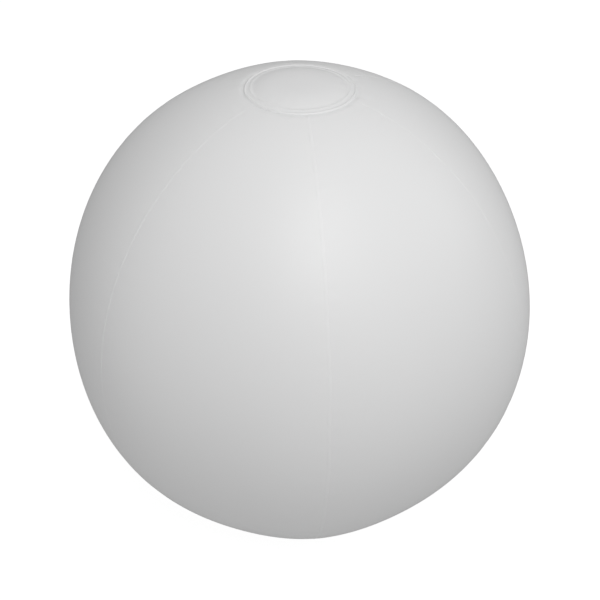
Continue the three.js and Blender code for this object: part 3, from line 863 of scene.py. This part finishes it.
def edge_wear():
    """A lighter, rubbed tone on outer edges."""
    group, enter, leave = new_group("edge_wear", {"Color": "Color", "Worn": "Color", "Amount": "Float"},
                                    {"Color": "Color"})
    form = node(group, "ShaderNodeNewGeometry", (-800, -250))
    ramp = preset(node(group, "ShaderNodeMapRange", (-550, -200)), From_Min=0.53, From_Max=0.64)
    patchy = preset(node(group, "ShaderNodeTexNoise", (-550, -500)), Scale=160)
    both = node(group, "ShaderNodeMath", (-300, -250), operation="MULTIPLY")
    amount = node(group, "ShaderNodeMath", (-100, -200), operation="MULTIPLY")
    mix = node(group, "ShaderNodeMix", (200, 0), data_type="RGBA")
    wire(group,
         (form.outputs["Pointiness"], ramp.inputs["Value"]), (ramp.outputs["Result"], both.inputs[0]),
         (patchy.outputs["Fac"], both.inputs[1]), (both.outputs[0], amount.inputs[0]),
         (enter.outputs["Amount"], amount.inputs[1]), (amount.outputs[0], mix.inputs["Factor"]),
         (enter.outputs["Color"], mix.inputs["A"]), (enter.outputs["Worn"], mix.inputs["B"]),
         (mix.outputs["Result"], leave.inputs["Color"]))
    return group


def limb_shade():
    """Painted shade: a darker tone at the rim of a round film, where the surface turns away from the camera. The
    material feeds in how far the surface is turned away.
    """
    group, enter, leave = new_group("limb_shade", {"Color": "Color", "Facing": "Float", "Amount": "Float"},
                                    {"Color": "Color"})
    steep = node(group, "ShaderNodeMath", (-600, 150), operation="POWER")
    steep.inputs[1].default_value = 14
    loss = node(group, "ShaderNodeMath", (-350, 150), operation="MULTIPLY")
    rest = node(group, "ShaderNodeMath", (-100, 150), operation="SUBTRACT")
    rest.inputs[0].default_value = 1
    shade = node(group, "ShaderNodeVectorMath", (200, 0), operation="SCALE")
    wire(group,
         (enter.outputs["Facing"], steep.inputs[0]), (steep.outputs[0], loss.inputs[0]),
         (enter.outputs["Amount"], loss.inputs[1]), (loss.outputs[0], rest.inputs[1]),
         (enter.outputs["Color"], shade.inputs[0]), (rest.outputs[0], shade.inputs["Scale"]),
         (shade.outputs["Vector"], leave.inputs["Color"]))
    return group


# ------------------------------------------------ finishes
# Each has its colour, or the name of the setting that holds it, and what plastic() is asked for.
FINISHES = {
    # limb is the strength of a painted shade at the rim of the two films.
    "white_vinyl": dict(color="vinyl", roughness=0.45, tone=0.015, scale=9, grain=0.06, limb=0.28),
    # weld_vinyl is a little lighter than the film: partly the doubled film, partly a painted light line along
    # the welds.
    "weld_vinyl": dict(color="weld", roughness=0.42, tone=0.03, scale=60, grain=0.06, limb=0.28),
    "soft_vinyl": dict(color=(0.72, 0.74, 0.74), roughness=0.3, tone=0.05, scale=40, grain=0.05),
    "clear_vinyl": dict(color=(0.9, 0.92, 0.93), roughness=0.12, tone=0.02, scale=40, grain=0.04, Alpha=0.35),
    "white_shell": dict(color="shell", roughness=0.32, tone=0.03, scale=30, grain=0.08, worn=0.3),
    "frosted_lens": dict(color=(0.88, 0.89, 0.9), roughness=0.35, tone=0.03, scale=60, grain=0.12, Alpha=0.72),
    "silicone": dict(color=(0.42, 0.44, 0.46), roughness=0.52, tone=0.06, scale=80, grain=0.1),
    "bright_reflector": dict(color=(0.88, 0.88, 0.9), roughness=0.16, tone=0.03, scale=60, grain=0.03,
                             Metallic=0.9),
    "circuit_board": dict(color=(0.78, 0.8, 0.77), roughness=0.4, tone=0.05, scale=90, grain=0.1),
    "led_package": dict(color=(0.86, 0.72, 0.25), roughness=0.22, tone=0.08, scale=400, grain=0.05),
    "black_plastic": dict(color=(0.025, 0.025, 0.028), roughness=0.42, tone=0.2, scale=60, grain=0.15,
                          worn=0.15),
    "nickel": dict(color=(0.62, 0.61, 0.59), roughness=0.24, tone=0.08, scale=120, grain=0.06, Metallic=1.0),
    "cell_jacket": dict(color=(0.12, 0.14, 0.16), roughness=0.3, tone=0.08, scale=60, grain=0.04, worn=0.25,
                        Metallic=0.6),
}
RUBBED = 1.25  # how much lighter a rubbed edge is
GRAIN_DEPTH = 0.0001


def plastic(name, color, roughness, tone, scale, grain, worn=0.0, limb=0.0, **shader_values):
    """A Principled finish with haze and grain and, where they are asked for, rubbed edges and a painted shade at
    the rim.
    """
    material = bpy.data.materials.new(name)
    material.use_nodes = True
    tree = material.node_tree
    shader = preset(tree.nodes["Principled BSDF"], **shader_values)
    haze = effect(tree, film_haze, (-600, 0), Color=(*color, 1), Tone=tone, Roughness=roughness, Scale=scale)
    tint = haze.outputs["Color"]
    if worn:
        rubbed = (*(min(1, c * RUBBED) for c in color), 1)
        wear = effect(tree, edge_wear, (-350, 200), Worn=rubbed, Amount=worn)
        wire(tree, (tint, wear.inputs["Color"]))
        tint = wear.outputs["Color"]
    # Painted shade: the colour turns darker where the surface faces away from the camera.
    if limb:
        facing = preset(node(tree, "ShaderNodeLayerWeight", (-600, 400)), Blend=0.5)
        rim = effect(tree, limb_shade, (-300, 300), Amount=limb)
        wire(tree, (facing.outputs["Facing"], rim.inputs["Facing"]), (tint, rim.inputs["Color"]))
        tint = rim.outputs["Color"]
    bump = preset(node(tree, "ShaderNodeBump", (-300, -300)), Strength=grain, Distance=GRAIN_DEPTH)
    wire(tree, (tint, shader.inputs["Base Color"]), (haze.outputs["Roughness"], shader.inputs["Roughness"]),
         (haze.outputs["Height"], bump.inputs["Height"]), (bump.outputs["Normal"], shader.inputs["Normal"]))
    return material


def finish(name):
    """The finish of that name, made when it is first asked for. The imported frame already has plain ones."""
    full_name = f"{name}_finish"
    made = bpy.data.materials.get(full_name)
    if made:
        return made
    values = dict(FINISHES[name])
    if isinstance(values["color"], str):
        values["color"] = getattr(bpy.context.scene.globe_light_finish, values["color"])
    return plastic(full_name, **values)


# ------------------------------------------------ the stage
# Each soft light: its turn from the camera and its height in degrees, its distance and width in metres, and
# its share of the main light's power.
LIGHTS = {"key": (12, 52, 1.9, 1.3, 1.0), "fill": (95, 28, 2.0, 1.2, 0.22), "sheen": (22, 74, 1.7, 0.5, 0.07)}
SENSOR = 36
SHIFT_X, SHIFT_Y, ROLL = 0.0023, 0.0012, math.radians(0.4)
FLOOR_REACH, FLOOR_GAP = 6000, 0.05
FLOOR_LIGHT, FLOOR_SEEN = 0.33, 0.9


def build_stage(settings, finishes, height):
    """A pale floor, three soft lights, an even studio light and the camera."""
    corners = [(x * FLOOR_REACH, y * FLOOR_REACH, -FLOOR_GAP) for x, y in ((-1, -1), (1, -1), (1, 1), (-1, 1))]
    floor = add_mesh("floor", corners, [(0, 1, 2, 3)], floor_finish(finishes.floor))

    centre = Vector((0, 0, height / 2))
    away = direction(settings.azimuth, settings.elevation)
    camera = bpy.data.objects.new("camera", bpy.data.cameras.new("camera"))
    camera.data.lens, camera.data.sensor_width = settings.lens, SENSOR
    camera.data.shift_x, camera.data.shift_y = SHIFT_X, SHIFT_Y
    camera.data.clip_end = 50
    camera.location = centre + away * settings.distance
    level = (-away).to_track_quat("-Z", "Y").to_matrix()
    camera.rotation_euler = (level @ Matrix.Rotation(ROLL, 3, "Z")).to_euler()
    bpy.context.scene.collection.objects.link(camera)
    bpy.context.scene.camera = camera

    for name, (turn, elevation, distance, width, share) in LIGHTS.items():
        away = direction(settings.azimuth + math.radians(turn), math.radians(elevation))
        light = bpy.data.objects.new(name, bpy.data.lights.new(name, "AREA"))
        light.data.shape, light.data.size, light.data.energy = "DISK", width, settings.key * share
        light.location = centre + away * distance
        light.rotation_euler = (-away).to_track_quat("-Z", "Y").to_euler()
        bpy.context.scene.collection.objects.link(light)

    world = bpy.data.worlds.new("studio")
    world.use_nodes = True
    preset(world.node_tree.nodes["Background"], Color=(1, 1, 1, 1), Strength=settings.ambient)
    bpy.context.scene.world = world
    bpy.context.scene.view_settings.view_transform = "Standard"


def direction(azimuth, elevation):
    """Away from the globe: an azimuth of 0 is straight in front, and it grows towards +X."""
    flat = math.cos(elevation)
    return Vector((math.sin(azimuth) * flat, -math.cos(azimuth) * flat, math.sin(elevation)))


def floor_finish(color):
    """A pale floor that the camera sees brighter than it lights the globe, and that is clear from below."""
    material = bpy.data.materials.new("pale_floor")
    material.use_nodes = True
    tree = material.node_tree
    shader = preset(tree.nodes["Principled BSDF"], Base_Color=(*color, 1), Roughness=0.9, Specular_IOR_Level=0,
                    Emission_Color=(1, 1, 1, 1))
    path = node(tree, "ShaderNodeLightPath", (-600, -200))
    glow = preset(node(tree, "ShaderNodeMapRange", (-300, -200)), To_Min=FLOOR_LIGHT, To_Max=FLOOR_SEEN)
    below = node(tree, "ShaderNodeNewGeometry", (-100, 300))
    clear = node(tree, "ShaderNodeBsdfTransparent", (0, -300))
    either = node(tree, "ShaderNodeMixShader", (350, 100))
    wire(tree, (path.outputs["Is Camera Ray"], glow.inputs["Value"]),
         (glow.outputs["Result"], shader.inputs["Emission Strength"]),
         (below.outputs["Backfacing"], either.inputs["Fac"]), (shader.outputs["BSDF"], either.inputs[1]),
         (clear.outputs["BSDF"], either.inputs[2]),
         (either.outputs["Shader"], tree.nodes["Material Output"].inputs["Surface"]))
    return material


# ------------------------------------------------ operators
def skin_of(context):
    """The skin that the present settings give."""
    return Skin(context.scene.globe_light_skin)


class GLOBELIGHT_OT_gores(bpy.types.Operator):
    """Make the six inflated gores"""

    bl_idname = "globelight.gores"
    bl_label = "Gores"

    def execute(self, context):
        build_gores(skin_of(context))
        return {"FINISHED"}


class GLOBELIGHT_OT_seams(bpy.types.Operator):
    """Make the welded seam bands"""

    bl_idname = "globelight.seams"
    bl_label = "Seams"

    def execute(self, context):
        build_seams(skin_of(context))
        return {"FINISHED"}


class GLOBELIGHT_OT_top_disc(bpy.types.Operator):
    """Make the domed disc on the upper pole"""

    bl_idname = "globelight.top_disc"
    bl_label = "Top disc"

    def execute(self, context):
        build_top_disc(skin_of(context))
        return {"FINISHED"}


class GLOBELIGHT_OT_bottom_disc(bpy.types.Operator):
    """Make the ring disc on the lower pole"""

    bl_idname = "globelight.bottom_disc"
    bl_label = "Bottom disc"

    def execute(self, context):
        build_bottom_disc(skin_of(context))
        return {"FINISHED"}


class GLOBELIGHT_OT_socket(bpy.types.Operator):
    """Make the soft socket and its window"""

    bl_idname = "globelight.socket"
    bl_label = "Socket"

    def execute(self, context):
        build_socket(skin_of(context))
        return {"FINISHED"}


class GLOBELIGHT_OT_valve(bpy.types.Operator):
    """Make the inflation valve"""

    bl_idname = "globelight.valve"
    bl_label = "Valve"

    def execute(self, context):
        build_valve(skin_of(context))
        return {"FINISHED"}


class GLOBELIGHT_OT_housing(bpy.types.Operator):
    """Make the light unit's housing"""

    bl_idname = "globelight.housing"
    bl_label = "Housing"

    def execute(self, context):
        build_housing()
        return {"FINISHED"}


class GLOBELIGHT_OT_lens(bpy.types.Operator):
    """Make the lens, its ring and its gasket"""

    bl_idname = "globelight.lens"
    bl_label = "Lens"

    def execute(self, context):
        build_lens()
        return {"FINISHED"}


class GLOBELIGHT_OT_cap(bpy.types.Operator):
    """Make the battery cap with its gasket and button"""

    bl_idname = "globelight.cap"
    bl_label = "Battery cap"

    def execute(self, context):
        build_cap()
        return {"FINISHED"}


class GLOBELIGHT_OT_emitter(bpy.types.Operator):
    """Make the reflector, the LED board with its six LEDs, and its screws and pins"""

    bl_idname = "globelight.emitter"
    bl_label = "LED board and reflector"

    def execute(self, context):
        build_emitter()
        return {"FINISHED"}


class GLOBELIGHT_OT_cells(bpy.types.Operator):
    """Make the cell tray, the three cells and their contacts"""

    bl_idname = "globelight.cells"
    bl_label = "Cells and contacts"

    def execute(self, context):
        build_cells()
        return {"FINISHED"}


class GLOBELIGHT_OT_switch(bpy.types.Operator):
    """Make the switch on the battery cap, with its board and contacts"""

    bl_idname = "globelight.switch"
    bl_label = "Switch"

    def execute(self, context):
        build_switch()
        return {"FINISHED"}


class GLOBELIGHT_OT_stage(bpy.types.Operator):
    """Make the floor, the lights and the camera"""

    bl_idname = "globelight.stage"
    bl_label = "Stage"

    def execute(self, context):
        scene = context.scene
        build_stage(scene.globe_light_stage, scene.globe_light_finish, scene.globe_light_skin.height)
        return {"FINISHED"}


OPERATORS = (
    GLOBELIGHT_OT_gores,
    GLOBELIGHT_OT_seams,
    GLOBELIGHT_OT_top_disc,
    GLOBELIGHT_OT_bottom_disc,
    GLOBELIGHT_OT_socket,
    GLOBELIGHT_OT_valve,
    GLOBELIGHT_OT_housing,
    GLOBELIGHT_OT_lens,
    GLOBELIGHT_OT_cap,
    GLOBELIGHT_OT_emitter,
    GLOBELIGHT_OT_cells,
    GLOBELIGHT_OT_switch,
    GLOBELIGHT_OT_stage,
)
SETTINGS = {
    "globe_light_skin": SkinSettings,
    "globe_light_finish": FinishSettings,
    "globe_light_stage": StageSettings,
}


class GLOBELIGHT_PT_panel(bpy.types.Panel):
    """Lists the settings and the steps of the globe light"""

    bl_idname = "GLOBELIGHT_PT_panel"
    bl_label = "Floating globe light"
    bl_space_type = "VIEW_3D"
    bl_region_type = "UI"
    bl_category = "Globe Light"

    def draw(self, context):
        for name, kind in SETTINGS.items():
            box = self.layout.box()
            for prop in kind.__annotations__:
                box.prop(getattr(context.scene, name), prop)
        for operator in OPERATORS:
            self.layout.operator(operator.bl_idname)


def register():
    """Adds the settings, the steps and the panel."""
    for kind in (*SETTINGS.values(), *OPERATORS, GLOBELIGHT_PT_panel):
        bpy.utils.register_class(kind)
    for name, kind in SETTINGS.items():
        setattr(bpy.types.Scene, name, bpy.props.PointerProperty(type=kind))


def unregister():
    """Takes them away again."""
    for name in SETTINGS:
        delattr(bpy.types.Scene, name)
    for kind in reversed((*SETTINGS.values(), *OPERATORS, GLOBELIGHT_PT_panel)):
        bpy.utils.unregister_class(kind)


def main():
    """Builds the whole globe light, step by step."""
    register()
    for operator in OPERATORS:
        group, name = operator.bl_idname.split(".")
        getattr(getattr(bpy.ops, group), name)()


if __name__ == "__main__":
    main()
